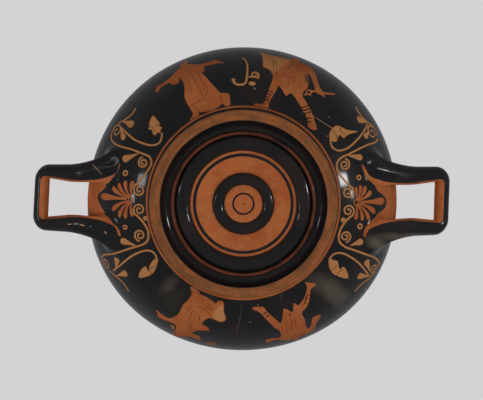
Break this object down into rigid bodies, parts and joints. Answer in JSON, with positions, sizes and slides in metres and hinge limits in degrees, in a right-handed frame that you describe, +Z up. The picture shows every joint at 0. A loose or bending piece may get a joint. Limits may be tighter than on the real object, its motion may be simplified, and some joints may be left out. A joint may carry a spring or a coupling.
{
  "type": "greek stemless kylix cup",
  "caption": "Shallow two-handled wine cup of fired clay with a low moulded ring foot, black glaze and reserved red ornament and figures on the outside.",
  "frame": {"origin": "centre of the foot's resting face, on the surface the cup stands on", "axes": "+Z up along the axis of the bowl, X through both handles, -Y towards the side with the painted tendril between its two figures"},
  "size_m": [0.3216, 0.24, 0.075],
  "materials": {
    "painted_clay": "glossy black glaze with matt orange clay left bare in rings, ornament and figures"
  },
  "bodies": {
    "root": {"kylix": "painted_clay"}
  },
  "joints": []
}
